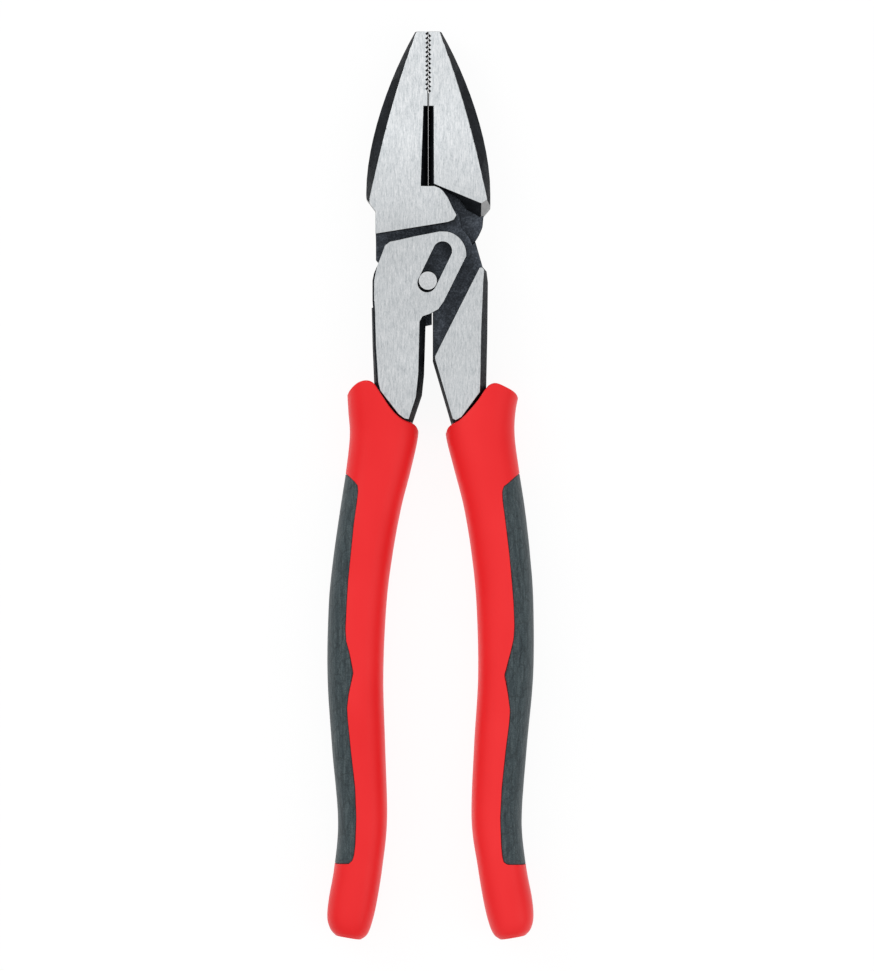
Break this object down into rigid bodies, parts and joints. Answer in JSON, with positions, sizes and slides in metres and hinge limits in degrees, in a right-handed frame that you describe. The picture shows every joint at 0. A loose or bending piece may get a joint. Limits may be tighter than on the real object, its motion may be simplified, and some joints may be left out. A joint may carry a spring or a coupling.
{
  "type": "lineman pliers",
  "caption": "Compound-action lineman pliers with serrated jaw tips, wire cutters, a slotted link lever and curved two-tone moulded grips.",
  "frame": {"origin": "centre of the outline seen from above, on the surface the grips rest on", "axes": "+Y from the grip ends to the jaw tips, +Z out of the front face, +X towards the grip of the fixed jaw lever"},
  "size_m": [0.055, 0.2412, 0.0186],
  "materials": {
    "lever_steel": "black oxide with bright ground faces",
    "pin_steel": "ground bright",
    "grip_shell": "satin moulded",
    "grip_pad": "fine wrinkled grain"
  },
  "bodies": {
    "jaw_lever": {"fixed_jaw_lever": "lever_steel", "main_rivet": "pin_steel", "right_grip_shell": "grip_shell", "right_grip_pad": "grip_pad"},
    "short_jaw": {"moving_jaw": "lever_steel"},
    "left_lever": {"handle_lever": "lever_steel", "link_pin": "pin_steel", "left_grip_shell": "grip_shell", "left_grip_pad": "grip_pad"},
    "slider": {"slide_pin": "pin_steel"}
  },
  "joints": [
    {"name": "jaw_pivot", "type": "hinge", "parent": "jaw_lever", "child": "short_jaw", "pos_m": [-0.00056, 0.074, 0.0093], "axis": [0, 0, -1], "range_deg": [0, 26]},
    {"name": "link_pivot", "type": "hinge", "parent": "short_jaw", "child": "left_lever", "pos_m": [-0.0095, 0.042, 0.0093], "axis": [0, 0, -1], "range_deg": [0, 18.2]},
    {"name": "pin_slide", "type": "slide", "parent": "left_lever", "child": "slider", "axis": [0.4384, 0.8988, 0], "range_m": [0, 0.0075]}
  ],
  "couplings": [
    {"joint": "link_pivot", "follows": "jaw_pivot", "ratio": 0.7},
    {"joint": "pin_slide", "follows": "jaw_pivot", "m_per_rad": 0.016527}
  ]
}
